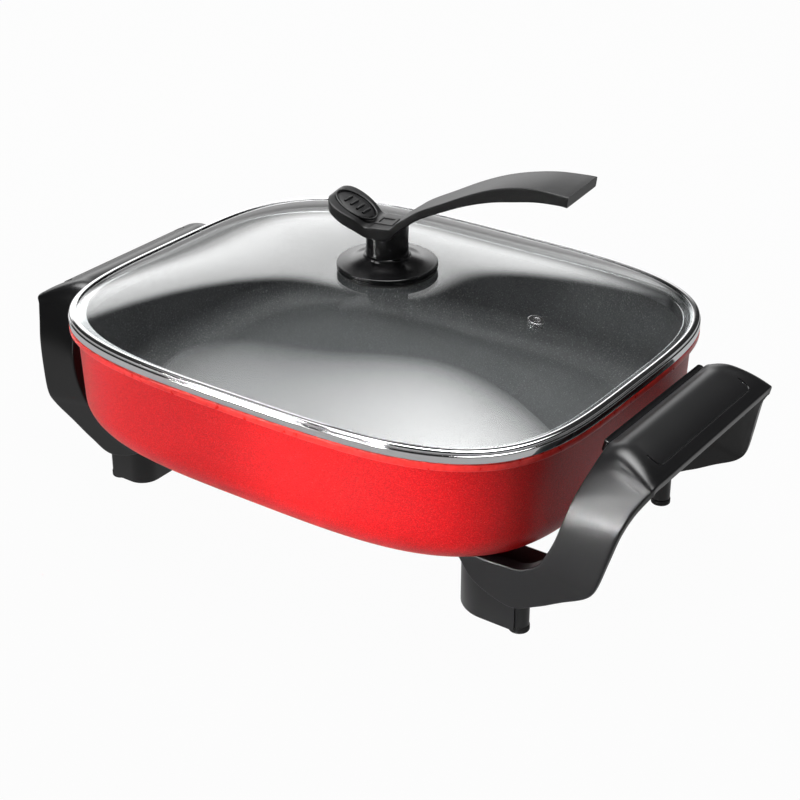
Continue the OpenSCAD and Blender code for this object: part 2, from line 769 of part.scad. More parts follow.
function lever_row(row) =
    let (high = row[1], low = row[1] - row[2], half = row[3] / 2, e = lever_round,
         near = row[4],
         section = [[-half + e, low], [half - e, low], [half - 0.3 * e, low + 0.3 * e],
                    [half, low + e], [half, high - e], [half - 0.3 * e, high - 0.3 * e],
                    [half - e, high], [0, high + 0.4], [-half + e, high],
                    [-half + 0.3 * e, high - 0.3 * e], [-half, high - e], [-half, low + e],
                    [-half + 0.3 * e, low + 0.3 * e]])
    [for (p = section) let (v = p[0] / half)
        [row[0] + near * (tip_slant * v - tip_hollow * (1 - v * v))
         - pow(near, 4) * tip_undercut * (high - p[1]) / row[2], p[0], p[1]]];

module lever_solid() {
    rows = [for (row = lever_rows) lever_row(row)];
    polyhedron(flat(rows), concat(side_faces(len(rows), len(rows[0])),
                                  cap_faces(len(rows), len(rows[0]))), convexity = 6);
}

cap_side = 12;
pocket_deep = 4.6;
lever_screw_r = 1.6;
lever_screw_len = 12;
screw_head_h = 2;
inlay_long = 14;
inlay_wide = 11.4;
inlay_deep = 1.2;
inlay_sides = 40;
inlay_x = -0.575 * pad_reach;
inlay_z = hub_z + 0.54 * pad_rise;
pad_slope = atan2((0.886 - 0.343) * pad_rise, (0.84 - 0.43) * pad_reach);

// Places its child on the middle of the thumb pad's slope
module on_pad() {
    at_lever(0) translate([inlay_x, 0, inlay_z]) rotate([0, pad_slope, 0]) children();
}

function oval(a, b) = [for (i = [0 : inlay_sides - 1]) let (t = 360 * i / inlay_sides)
    [a * cos(t), b * sin(t)]];

module knob_lever() {
    color("#1e1e1e") difference() {
        at_lever(0) lever_solid();
        at_lever(hub_z - pocket_deep) translate([-cap_side / 2, -cap_side / 2, 0])
            cube([cap_side, cap_side, pocket_deep + overlap]);
        at_knob(hub_z - 20) cylinder(h = 20, r = lever_screw_r + fit_gap);
        on_pad() translate([0, 0, -inlay_deep]) linear_extrude(10)
            polygon(oval(inlay_long + fit_gap, inlay_wide + fit_gap));
    }
}

module knob_base() {
    trim = concat([for (row = lever_rows) if (abs(row[0]) < 30) [row[0], row[1] - row[2]]],
                  [[30, hub_z + 60], [-30, hub_z + 60]]);
    color("#141414") difference() {
        at_knob(0) rotate_extrude() polygon([
            [0, disc_z], [knob_r - 1, disc_z], [knob_r, disc_z + 1],
            [knob_r, edge_z - 1.2], [knob_r - 0.5, edge_z - 0.4], [knob_r - 1.6, edge_z],
            [knob_r - 8, edge_z + 0.12 * disc_rise], [stem_r + 4.5, edge_z + 0.5 * disc_rise],
            [stem_r + 1, stem_z], [stem_r + 0.7, stem_z + 0.6], [stem_r, stem_z + 0.8],
            [stem_r, hub_z + 8], [0, hub_z + 8]]);
        at_lever(0) rotate([90, 0, 0])
            translate([0, 0, -2 * stem_r]) linear_extrude(4 * stem_r) polygon(trim);
        at_knob(disc_z - overlap)
            cylinder(h = knob_screw_hold + overlap, r = knob_screw_r + fit_gap);
        at_knob(hub_z - lever_screw_len - pocket_deep)
            cylinder(h = 2 * lever_screw_len, r = lever_screw_r + fit_gap);
    }
}

module thumb_inlay() {
    color("#2a2a2a") on_pad() {
        translate([0, 0, -inlay_deep]) linear_extrude(inlay_deep - 0.3)
            polygon(oval(inlay_long, inlay_wide));
        for (k = [-1 : 1]) translate([k * 5, 0, -0.8]) rotate([0, 0, -14])
            linear_extrude(1) square([1.4, 9], center = true);
    }
}

module lever_screw() {
    color("silver") at_knob(hub_z - pocket_deep) {
        cylinder(h = screw_head_h, r = 3.4);
        translate([0, 0, 1 - lever_screw_len]) cylinder(h = lever_screw_len, r = lever_screw_r);
    }
}

module screw_cap() {
    side = cap_side - 2 * fit_gap;
    height = pocket_deep - screw_head_h - 0.5;
    color("#262626") at_lever(hub_z - pocket_deep + screw_head_h) difference() {
        translate([-side / 2, -side / 2, 0]) cube([side, side, height]);
        translate([-side / 4, -side / 4, height / 2]) cube([side / 2, side / 2, height]);
    }
}

inner_washer_r = 14;
inner_washer_t = 1;
inner_gasket_t = 1.5;
under_z = crown_z - glass_t;
screw_seat_z = under_z - inner_gasket_t - inner_washer_t;

module flat_ring(r, t) {
    difference() {
        cylinder(h = t, r = r);
        translate([0, 0, -overlap]) cylinder(h = t + 2 * overlap, r = knob_screw_r + fit_gap);
    }
}

module inner_gasket() {
    color("#3a3a3a") at_knob(under_z - inner_gasket_t)
        flat_ring(inner_washer_r - 1, inner_gasket_t);
}

module inner_washer() {
    color("silver") at_knob(screw_seat_z) flat_ring(inner_washer_r, inner_washer_t);
}

module knob_screw() {
    color("silver") at_knob(screw_seat_z)
        screw_up(knob_screw_r, disc_z + knob_screw_hold - 1 - screw_seat_z, 5, 2.8);
}

pan_body();
heating_element();
terminal_pins();
pin_insulators();
probe_sleeve();
inlet_guard();
guard_screws();
handle_right();
handle_left();
grip_bar_right();
grip_bar_left();
heat_washers();
handle_screws();
foot_front_right();
foot_rear_right();
foot_front_left();
foot_rear_left();
lid_glass();
lid_rim();
knob_gasket();
knob_base();
knob_lever();
thumb_inlay();
lever_screw();
screw_cap();
knob_screw();
inner_washer();
inner_gasket();
vent_eyelet();
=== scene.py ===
"""Electric skillet: the looks of its pan, glass lid, knob, handles and heater.

Sizes here are in millimetres, and one step at the end of each shape turns them into metres.
X runs from the left handle to the right one, -Y is the side that faces the cook, Z is up.
"""

import math
from collections import namedtuple

import bmesh
import bpy
import numpy as np
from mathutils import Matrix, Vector


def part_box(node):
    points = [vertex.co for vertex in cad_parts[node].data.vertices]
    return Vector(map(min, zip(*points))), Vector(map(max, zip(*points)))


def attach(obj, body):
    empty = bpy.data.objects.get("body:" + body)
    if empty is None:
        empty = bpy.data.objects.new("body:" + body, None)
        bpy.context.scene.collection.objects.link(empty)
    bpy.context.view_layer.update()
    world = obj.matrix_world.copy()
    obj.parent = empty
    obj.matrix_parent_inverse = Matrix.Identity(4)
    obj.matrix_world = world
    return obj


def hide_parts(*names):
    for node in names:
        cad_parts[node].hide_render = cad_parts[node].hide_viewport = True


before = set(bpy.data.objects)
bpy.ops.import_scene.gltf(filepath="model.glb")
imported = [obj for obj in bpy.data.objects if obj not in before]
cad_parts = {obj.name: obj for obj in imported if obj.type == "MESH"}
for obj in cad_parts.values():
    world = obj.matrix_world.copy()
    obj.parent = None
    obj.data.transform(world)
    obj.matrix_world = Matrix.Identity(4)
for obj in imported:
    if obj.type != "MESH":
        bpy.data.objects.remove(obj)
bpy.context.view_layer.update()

MM = 0.001
UP = np.array([0.0, 0.0, 1.0])


def box(node):
    """Lowest and highest corner of a node, in millimetres."""
    low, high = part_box(node)
    return np.array(low) / MM, np.array(high) / MM


# ------------------------------------------------------------------ sizes

base_low, base_high = box("knob_base")

SQUARE_X = 3.5
SQUARE_Y = 4.0
OUTLINE_SIDES = 360
HALF_LEN, HALF_WID, LIP_Z = box("pan_body")[1]
PAN_CLEARANCE = 49.0
WALL_T = 4.0
BASE_T = 5.0
BOTTOM_R = 24.0
LIP_H = 4.2
LIP_PROUD = 3.5
WALL_DRAFT = 2.0
LIP_IN = 9.0
SEAT_IN = 1.2
SEAT_H = 2.0
SKIRT_DROP = 7.0
FOOT_ARC_IN = LIP_PROUD + WALL_DRAFT

RIM_Z = box("lid_rim")[1][2] - 0.1
RIM_LOW_Z = LIP_Z + 0.3
RIM_T = 0.8
GLASS_IN = 3.0
GLASS_T = 3.5
CROWN_Z = box("lid_glass")[1][2]
GLASS_EDGE_Z = RIM_Z - 1.2
FLAT_PART = 0.21
SKIRT_IN = LIP_IN + 0.6

KNOB_X = (base_low[0] + base_high[0]) / 2
KNOB_R = (base_high[0] - base_low[0]) / 2
DISC_Z = base_low[2]
DISC_H = 3.5
DISC_RISE = 4.5
STEM_R = 13.0
HUB_Z = CROWN_Z + 30.5
LEVER_TURN = math.radians(12)
BLADE_REACH = 121.5
BLADE_RISE = 41.0
BLADE_TIP_W = 40.0
BLADE_ROOT_W = 22.5
PAD_REACH = 35.0
PAD_RISE = 14.0
PAD_W = 36.0

GRIP_OUT_X = box("handle_right")[1][0]
GRIP_W = 36.5
GRIP_IN_X = GRIP_OUT_X - GRIP_W
GRIP_Z = 119.5
GRIP_FALL = 9.5
GRIP_CROWN = 5.0
GRIP_LEN_IN = 120.0
GRIP_LEN_OUT = 146.0
PLATE_Y = 95.5
SHELL_T = 3.0
SHELF_Z = 43.0
SHELF_T = 3.0
LEG_GAP = 2.0
FOOT_Y = 86.0
FOOT_H = 4.0
POST_R = 5.8
FOOT_R = POST_R + 0.4


# ------------------------------------------------------------------ curves and solids

def arc(centre, radius, start, end, steps):
    """Points of an arc in a plane, angles in degrees."""
    turns = np.radians(np.linspace(start, end, steps + 1))
    return [(centre[0] + radius * math.cos(a), centre[1] + radius * math.sin(a)) for a in turns]


def rounded(points, radius, steps=4, closed=True):
    """The outline with each corner turned into a soft bend of about that radius."""
    points = [np.array(p, float) for p in points]
    count = len(points)
    soft = []
    for i, corner in enumerate(points):
        if not closed and i in (0, count - 1):
            soft.append(corner)
            continue
        before = points[i - 1] - corner
        after = points[(i + 1) % count] - corner
        reach = min(radius, 0.45 * np.linalg.norm(before), 0.45 * np.linalg.norm(after))
        start = corner + before / np.linalg.norm(before) * reach
        end = corner + after / np.linalg.norm(after) * reach
        for k in range(steps + 1):
            t = k / steps
            soft.append((1 - t) ** 2 * start + 2 * t * (1 - t) * corner + t * t * end)
    return soft


def eased(a, b, c, d, t):
    """A smooth curve through four stations, a part t of the way from b to c."""
    return 0.5 * (2 * b + (c - a) * t + (2 * a - 5 * b + 4 * c - d) * t ** 2
                  + (3 * b - a - 3 * c + d) * t ** 3)


def smoothed(stations, steps):
    """The stations with steps between each two of them, on one smooth curve."""
    rows = np.array(stations, float)
    last = len(rows) - 1
    fine = [eased(rows[max(0, i - 1)], rows[i], rows[i + 1], rows[min(last, i + 2)], k / steps)
            for i in range(last) for k in range(steps)]
    return fine + [rows[last]]


def unit(v):
    return v / np.linalg.norm(v)


def loft(rows, ring=False):
    """A skin over rows of points that each run round a section, capped unless it is a ring."""
    count = len(rows)
    n = len(rows[0])
    faces = []
    for r in range(count if ring else count - 1):
        up = (r + 1) % count
        faces += [(r * n + i, r * n + (i + 1) % n, up * n + (i + 1) % n, up * n + i)
                  for i in range(n)]
    if not ring:
        faces += [tuple(range(n - 1, -1, -1)), tuple((count - 1) * n + i for i in range(n))]
    return np.vstack([np.array(row, float) for row in rows]), faces


def outline(inset, z, share=1.0):
    """The pan's plan outline at height z, drawn in by an inset and then to a share of its size."""
    a = np.linspace(0, 2 * math.pi, OUTLINE_SIDES, endpoint=False)
    c, s = np.cos(a), np.sin(a)
    x = (HALF_LEN - inset) * np.sign(c) * np.abs(c) ** (2 / SQUARE_X)
    y = (HALF_WID - inset) * np.sign(s) * np.abs(s) ** (2 / SQUARE_Y)
    return np.stack([x * share, y * share, np.full(OUTLINE_SIDES, z)], 1)


def stacked(profile, ring=False):
    """A solid of outlines, one for each inset and height of the profile."""
    return loft([outline(p[0], p[1]) for p in profile], ring=ring)


def lathe(profile, centre, sides=128, ring=False):
    """A turned solid about a vertical axis, from radii and heights."""
    a = np.linspace(0, 2 * math.pi, sides, endpoint=False)
    rows = [np.stack([centre[0] + p[0] * np.cos(a), centre[1] + p[0] * np.sin(a),
                      np.full(sides, p[1])], 1) for p in profile]
    return loft(rows, ring=ring)


def prism(plan, low, high, edge=0.6):
    """An upright solid on a plan outline, its top and bottom edges eased."""
    plan = np.array(plan, float)
    before, after = np.roll(plan, 1, 0), np.roll(plan, -1, 0)
    side_a = plan - before
    side_b = after - plan
    normal_a = np.stack([side_a[:, 1], -side_a[:, 0]], 1)
    normal_b = np.stack([side_b[:, 1], -side_b[:, 0]], 1)
    normal_a /= np.linalg.norm(normal_a, axis=1)[:, None]
    normal_b /= np.linalg.norm(normal_b, axis=1)[:, None]
    middle = normal_a + normal_b
    scale = 2 / np.maximum(0.5, (middle ** 2).sum(1))
    turned = middle * scale[:, None]
    area = 0.5 * (plan[:, 0] * after[:, 1] - plan[:, 1] * after[:, 0]).sum()
    inward = -turned if area > 0 else turned
    rows = []
    for z, share in ((low, 1.0), (low + 0.3 * edge, 0.3), (low + edge, 0),
                     (high - edge, 0), (high - 0.3 * edge, 0.3), (high, 1.0)):
        drawn = plan + inward * edge * share
        rows.append(np.column_stack([drawn, np.full(len(plan), z)]))
    return loft(rows)


def tube(path, radius, sides=20, closed=False):
    """A round bar along a path."""
    path = [np.array(p, float) for p in path]
    count = len(path)
    rows = []
    for i, point in enumerate(path):
        after = path[(i + 1) % count] if closed or i < count - 1 else point
        before = path[i - 1] if closed or i > 0 else point
        run = unit(after - before)
        side = unit(np.cross(run, UP if abs(run[2]) < 0.9 else np.array([1.0, 0, 0])))
        lift = np.cross(side, run)
        a = np.linspace(0, 2 * math.pi, sides, endpoint=False)
        rows.append(point + radius * (np.outer(np.cos(a), side) + np.outer(np.sin(a), lift)))
    return loft(rows, ring=closed)


def joined(*solids):
    """Several solids as one set of points and faces."""
    points, faces, start = [], [], 0
    for solid_points, solid_faces in solids:
        points.append(solid_points)
        faces += [tuple(i + start for i in face) for face in solid_faces]
        start += len(solid_points)
    return np.vstack(points), faces


def moved(solid, change):
    """The solid with its points taken elsewhere by a function."""
    return change(solid[0]), solid[1]


def mirrored(solid, axis):
    """The solid mirrored along an axis."""
    flip = np.ones(3)
    flip[axis] = -1
    return solid[0] * flip, [tuple(reversed(face)) for face in solid[1]]


def piece(name, solid, finishes, body, stands_for=(), finish_of=None, crease=35):
    """One piece of the skillet, from a solid in millimetres."""
    points, faces = solid
    mesh = bpy.data.meshes.new(name)
    mesh.from_pydata((np.asarray(points) * MM).tolist(), [], faces)
    finishes = finishes if isinstance(finishes, list) else [finishes]
    for finish in finishes:
        mesh.materials.append(finish)
    if finish_of is not None:
        mesh.polygons.foreach_set("material_index", finish_of)
    work = bmesh.new()
    work.from_mesh(mesh)
    bmesh.ops.recalc_face_normals(work, faces=work.faces)
    work.to_mesh(mesh)
    work.free()
    mesh.polygons.foreach_set("use_smooth", [True] * len(mesh.polygons))
    mesh.set_sharp_from_angle(angle=math.radians(crease))
    made = bpy.data.objects.new(name, mesh)
    bpy.context.scene.collection.objects.link(made)
    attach(made, body)
    if stands_for:
        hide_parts(*stands_for)
    return made


# ------------------------------------------------------------------ shader sums

class Wire:
    """A shader socket that can be used in sums."""

    def __init__(self, sheet, socket):
        self.sheet = sheet
        self.socket = socket

    def __add__(self, other):
        return self.sheet.sum_of("ADD", self, other)

    def __sub__(self, other):
        return self.sheet.sum_of("SUBTRACT", self, other)

    def __rsub__(self, other):
        return self.sheet.sum_of("SUBTRACT", other, self)

    def __mul__(self, other):
        return self.sheet.sum_of("MULTIPLY", self, other)

    def __pow__(self, other):
        return self.sheet.sum_of("POWER", self, other)

    __radd__ = __add__
    __rmul__ = __mul__


class Sheet:
    """The nodes of one material, of the floor or of the room."""

    def __init__(self, tree):
        self.tree = tree
        tree.nodes.clear()

    def node(self, kind, settings, sockets, output=0):
        """A node of a type: its settings first, then the values or links of its sockets."""
        made = self.tree.nodes.new("ShaderNode" + kind)
        for key, value in settings.items():
            setattr(made, key, value)
        for key, value in sockets.items():
            if isinstance(value, Wire):
                self.tree.links.new(value.socket, made.inputs[key])
            else:
                made.inputs[key].default_value = value
        return Wire(self, made.outputs[output]) if made.outputs else None

    def sum_of(self, operation, a, b):
        return self.node("Math", {"operation": operation}, {0: a, 1: b})

    def place(self):
        """Where a point is on the skillet, in metres."""
        return self.node("TexCoord", {}, {}, "Object")

    def noise(self, place, scale, detail=2.0, roughness=0.5):
        return self.node("TexNoise", {}, {"Vector": place, "Scale": scale, "Detail": detail,
                                          "Roughness": roughness})

    def step(self, value, low, high, to_low=0.0, to_high=1.0):
        """A soft step from to_low to to_high while the value goes from low to high."""
        return self.node("MapRange", {"interpolation_type": "SMOOTHSTEP"},
                         {"Value": value, "From Min": low, "From Max": high,
                          "To Min": to_low, "To Max": to_high})

    def blend(self, share, first, second):
        """A colour between two colours."""
        return self.node("Mix", {"data_type": "RGBA"}, {0: share, 6: first, 7: second}, 2)

    def stretched(self, place, sizes):
        return self.node("VectorMath", {"operation": "MULTIPLY"}, {0: place, 1: sizes})

    def bump(self, height, depth, strength):
        return self.node("Bump", {}, {"Height": height, "Distance": depth, "Strength": strength})


def tone(red, green, blue):
    """A colour from its display values of 0 to 255."""
    linear = [(v / 255 / 12.92) if v < 11 else ((v / 255 + 0.055) / 1.055) ** 2.4
              for v in (red, green, blue)]
    return (*linear, 1.0)


def material(name, finish):
    """A material whose finish is a function that gives the surface shader's sockets."""
    made = bpy.data.materials.new(name)
    made.use_nodes = True
    sheet = Sheet(made.node_tree)
    surface = sheet.node("BsdfPrincipled", {}, finish(sheet))
    sheet.node("OutputMaterial", {}, {"Surface": surface})
    return made


# ------------------------------------------------------------------ finishes
# Noise scales are grains to a metre, bump depths are in metres.

ROLLING_STREAKS = (40.0, 40.0, 900.0)


def wrinkled_enamel(s):
    """Red enamel with an orange-peel skin, and small pale-pink spots that are painted glints."""
    place = s.place()
    peel = s.noise(place, 1300, 2, 0.55)
    grit = s.noise(place, 2800, 2, 0.6)
    cloud = s.noise(place, 18, 2)
    # Small pale-pink spots in the base colour: painted glints standing in for the enamel's sparkle
    # under the lamps.
    painted_glints = s.step(s.noise(place, 2600, 1), 0.6, 0.72)
    ground = s.blend(s.step(peel * 0.5 + grit * 0.5, 0.38, 0.62),
                     tone(190, 10, 14), tone(236, 26, 30))
    worn = s.blend(cloud * 0.25, ground, tone(206, 12, 16))
    return {"Base Color": s.blend(painted_glints * 0.4, worn, tone(255, 112, 106)),
            "Roughness": 0.3 + 0.18 * grit, "IOR": 1.4,
            "Normal": s.bump(peel * 0.7 + grit * 0.3, 0.0004, 0.6)}


def lip_enamel(s):
    """Smooth red enamel of the lip band, its lighter red a painted sheen."""
    place = s.place()
    peel = s.noise(place, 260, 2)
    # Both tones are lighter than the body's enamel: painted sheen standing in for the softbox's
    # reflection along the smooth lip.
    return {"Base Color": s.blend(s.step(peel, 0.3, 0.7), tone(232, 44, 40), tone(244, 62, 56)),
            "Roughness": 0.24 + 0.1 * peel, "IOR": 1.45,
            "Normal": s.bump(peel, 0.0003, 0.25)}


def nonstick(s):
    """Dark grey non-stick coating with pale mineral specks."""
    place = s.place()
    grain = s.noise(place, 1500, 3, 0.65)
    cloud = s.noise(place, 30, 2)
    pale = s.step(s.noise(place, 1150, 2, 0.7), 0.56, 0.7)
    dark = s.step(s.noise(place, 900, 2, 0.7), 0.56, 0.68)
    ground = s.blend(s.step(grain * 0.8 + cloud * 0.2, 0.35, 0.65),
                     tone(40, 40, 41), tone(66, 66, 67))
    specked = s.blend(pale * 0.7, ground, tone(132, 132, 132))
    return {"Base Color": s.blend(dark * 0.6, specked, tone(26, 26, 27)),
            "Roughness": 0.42 + 0.16 * grain,
            "Normal": s.bump(grain * 0.6 + pale * 0.4, 0.0002, 0.5)}


def moulded_black(dark, light, roughness, depth):
    """Moulded plastic in a shade of black, with a fine eroded skin."""
    def finish(s):
        place = s.place()
        skin = s.noise(place, 1400, 2, 0.6)
        cloud = s.noise(place, 40, 2)
        return {"Base Color": s.blend(skin * 0.5 + cloud * 0.5, tone(*dark), tone(*light)),
                "Roughness": roughness - 0.04 + 0.08 * skin,
                "Normal": s.bump(skin, depth, 0.5)}
    return finish


def sheet_metal(dark, light, roughness):
    """Bright metal with fine rolling streaks."""
    def finish(s):
        place = s.place()
        streak = s.noise(s.stretched(place, ROLLING_STREAKS), 1, 3, 0.6)
        cloud = s.noise(place, 60, 2)
        return {"Base Color": s.blend(streak * 0.6 + cloud * 0.4, tone(*dark), tone(*light)),
                "Metallic": 1.0,
                "Roughness": roughness - 0.03 + 0.1 * streak * cloud,
                "Normal": s.bump(streak, 0.00004, 0.3)}
    return finish


def scaled_sheath(s):
    """Heater sheath, dark and slightly scaled by heat."""
    place = s.place()
    scale = s.noise(place, 700, 3, 0.65)
    cloud = s.noise(place, 35, 3)
    return {"Base Color": s.blend(s.step(scale * 0.5 + cloud * 0.5, 0.35, 0.65),
                                  tone(62, 60, 58), tone(112, 108, 104)),
            "Metallic": 0.8, "Roughness": 0.42 + 0.2 * scale,
            "Normal": s.bump(scale, 0.0001, 0.5)}


def glazed_white(s):
    """Porcelain of the insulators."""
    place = s.place()
    cloud = s.noise(place, 160, 2)
    grain = s.noise(place, 900, 2)
    return {"Base Color": s.blend(cloud, tone(224, 218, 204), tone(240, 236, 226)),
            "Roughness": 0.22 + 0.12 * grain, "Normal": s.bump(grain, 0.00005, 0.3)}


def soft_rubber(s):
    """Matt black rubber."""
    place = s.place()
    grain = s.noise(place, 1300, 2)
    return {"Base Color": s.blend(grain, tone(18, 18, 18), tone(34, 34, 34)),
            "Roughness": 0.62 + 0.15 * grain, "Normal": s.bump(grain, 0.00008, 0.4)}


def clear_glass():
    """Tempered glass, which lets the lamps reach what is under it."""
    made = bpy.data.materials.new("tempered_glass")
    made.use_nodes = True
    s = Sheet(made.node_tree)
    ripple = s.noise(s.place(), 14, 1)
    glass = s.node("BsdfPrincipled", {}, {
        "Base Color": (0.93, 0.95, 0.95, 1.0), "Transmission Weight": 1.0, "IOR": 1.5,
        "Roughness": 0.0, "Normal": s.bump(ripple, 0.00005, 0.2)})
    through = s.node("BsdfTransparent", {}, {"Color": (0.88, 0.9, 0.9, 1.0)})
    rays = s.node("LightPath", {}, {}, "Is Shadow Ray")
    mixed = s.node("MixShader", {}, {0: rays, 1: glass, 2: through})
    s.node("OutputMaterial", {}, {"Surface": mixed})
    return made


ENAMEL = material("wrinkled_red_enamel", wrinkled_enamel)
LIP = material("smooth_red_enamel", lip_enamel)
NONSTICK = material("nonstick_coating", nonstick)
HANDLE_BLACK = material("handle_black", moulded_black((14, 14, 15), (24, 24, 25), 0.3, 0.00003))
TRIM_BLACK = material("trim_black", moulded_black((12, 12, 13), (20, 20, 21), 0.2, 0.00002))
KNOB_BLACK = material("knob_black", moulded_black((8, 8, 9), (15, 15, 16), 0.2, 0.00002))
LEVER_BLACK = material("lever_black", moulded_black((11, 11, 12), (20, 20, 21), 0.42, 0.00005))
RUBBER = material("foot_rubber", soft_rubber)
RIM_STEEL = material("polished_rim_steel", sheet_metal((205, 205, 206), (232, 232, 233), 0.1))
BRIGHT_STEEL = material("bright_steel", sheet_metal((196, 196, 198), (228, 228, 229), 0.18))
PRESSED_STEEL = material("pressed_steel", sheet_metal((168, 170, 172), (206, 208, 210), 0.34))
SCREW_STEEL = material("screw_steel", sheet_metal((150, 150, 152), (196, 196, 198), 0.3))
SHEATH = material("heater_sheath", scaled_sheath)
PORCELAIN = material("porcelain", glazed_white)
GLASS = clear_glass()

NODE_FINISHES = {
    "heating_element": SHEATH, "terminal_pins": BRIGHT_STEEL, "pin_insulators": PORCELAIN,
    "probe_sleeve": BRIGHT_STEEL, "inlet_guard": PRESSED_STEEL, "guard_screws": SCREW_STEEL,
    "heat_washers": BRIGHT_STEEL, "handle_screws": SCREW_STEEL, "lever_screw": SCREW_STEEL,
    "knob_screw": SCREW_STEEL, "inner_washer": BRIGHT_STEEL, "inner_gasket": RUBBER,
}
for node_name, finish in NODE_FINISHES.items():
    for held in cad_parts[node_name].material_slots:
        held.material = finish


# ------------------------------------------------------------------ pan

RIDGE_W = 11.0
RIDGE_DROP = 8.0
LOOP_X = 92.0
LOOP_Y = 68.0
LOOP_R = 34.0
PIN_Y = 14.0
LEAD_BEND_R = 12.0
RIDGE_END_X = -110.0
BOSS = (134.0, 76.0)
BOSS_R = 7.0
WASHER_T = 1.0
SADDLE_X = (-130.0, -96.0)
SADDLE_W = 15.0
SADDLE_LOW = 35.5


def pan_profile():
    """Insets and heights of the pan, from its underside out, up, over the lip and back in."""
    outer = arc((FOOT_ARC_IN + BOTTOM_R, PAN_CLEARANCE + BOTTOM_R), BOTTOM_R, 270, 180, 18)
    lip = rounded([(LIP_PROUD, LIP_Z - LIP_H - SEAT_H), (0, LIP_Z - LIP_H - SEAT_H),
                   (0, LIP_Z - SEAT_H), (SEAT_IN, LIP_Z - SEAT_H), (SEAT_IN, LIP_Z),
                   (LIP_IN, LIP_Z)], 0.9, 4)
    wall_in = FOOT_ARC_IN + WALL_T
    inner_r = BOTTOM_R - WALL_T
    inner_low = PAN_CLEARANCE + BASE_T
    throat = [(LIP_IN, LIP_Z - SKIRT_DROP - 2), (wall_in, inner_low + inner_r + 8)]
    inner = arc((wall_in + inner_r, inner_low + inner_r), inner_r, 180, 270, 18)
    return outer, lip, throat, inner


def underside_loop():
    """The heater's path under the base, from one lead round to the other."""
    first_y = PIN_Y + LEAD_BEND_R
    straight_x, straight_y = LOOP_X - LOOP_R, LOOP_Y - LOOP_R
    half = [(RIDGE_END_X, PIN_Y)]
    half += arc((-LOOP_X - LEAD_BEND_R, first_y), LEAD_BEND_R, -90, 0, 10)
    half += arc((-straight_x, straight_y), LOOP_R, 180, 90, 16)
    half += arc((straight_x, straight_y), LOOP_R, 90, 0, 16)
    return half + [(x, -y) for x, y in reversed(half)]


def make_pan():
    outer, lip, throat, inner = pan_profile()
    profile = outer + lip + throat + inner
    shell = stacked(profile)
    lip_rows = len(lip) - 3
    inside_rows = len(profile) - 1 - len(outer) - lip_rows
    bands = [0] * len(outer) + [1] * lip_rows + [2] * inside_rows
    finish_of = np.repeat(bands, OUTLINE_SIDES).tolist() + [0, 2]
    piece("pan_shell", shell, [ENAMEL, LIP, NONSTICK], "base", ["pan_body"], finish_of)

    low = PAN_CLEARANCE - RIDGE_DROP
    section = rounded([(-RIDGE_W / 2 + 0.8, low), (RIDGE_W / 2 - 0.8, low),
                       (RIDGE_W / 2, PAN_CLEARANCE + 1), (-RIDGE_W / 2, PAN_CLEARANCE + 1)], 1.6)
    path = [np.array(p) for p in underside_loop()]
    rows = []
    for i, point in enumerate(path):
        run = unit(path[min(i + 1, len(path) - 1)] - path[max(i - 1, 0)])
        side = np.array([run[1], -run[0]])
        rows.append([(*(point + side * across), z) for across, z in section])
    bosses = [lathe(rounded([(0.01, SHELF_Z + WASHER_T), (BOSS_R, SHELF_Z + WASHER_T),
                             (BOSS_R, PAN_CLEARANCE + 0.5), (0.01, PAN_CLEARANCE + 0.5)],
                            0.8, 3, False), (sx * BOSS[0], sy * BOSS[1]), 48)
              for sx in (-1, 1) for sy in (-1, 1)]
    saddle = prism(rounded([(SADDLE_X[0], -SADDLE_W / 2), (SADDLE_X[1], -SADDLE_W / 2),
                            (SADDLE_X[1], SADDLE_W / 2), (SADDLE_X[0], SADDLE_W / 2)], 2),
                   SADDLE_LOW, PAN_CLEARANCE + 0.5)
    piece("pan_underside_castings", joined(loft(rows), saddle, *bosses), ENAMEL, "base")


# ------------------------------------------------------------------ lid

RIM_TOP_LIP = 4.2
VENT_X = 109.0
VENT_TUBE_R = 3.0
VENT_HOLE_R = 2.0
VENT_FLANGE_R = 5.0
VENT_BELOW = GLASS_T + 1.7
VENT_ABOVE = 1.3
VENT_FLANGE_T = 1.0
DOME_STEPS = 40
NEAR_EDGE = 0.999
BEAD_T = 0.9
BEAD_GAP = 0.6
GROOVE_DROP = 2.4


def dome(share):
    """Height of the glass's top at a share of the outline's size."""
    u = max(0.0, (share - FLAT_PART) / (1 - FLAT_PART))
    return GLASS_EDGE_Z + (CROWN_Z - GLASS_EDGE_Z) * (1 - u * u)


def make_glass():
    """The dome's underside from its middle out, its ground edge, and its top back in."""
    shares = [math.sin(math.radians(90 * k / DOME_STEPS)) for k in range(1, DOME_STEPS + 1)]
    under = [outline(GLASS_IN, dome(s) - GLASS_T, s * (0.985 if s < NEAR_EDGE else 0.997))
             for s in shares]
    edge = [outline(GLASS_IN, GLASS_EDGE_Z - GLASS_T + 0.6),
            outline(GLASS_IN, GLASS_EDGE_Z - 0.5)]
    top = [outline(GLASS_IN, dome(s), s * (1 if s < NEAR_EDGE else 0.998))
           for s in reversed(shares)]
    piece("domed_glass", loft(under + edge + top), GLASS, "lid", ["lid_glass"])


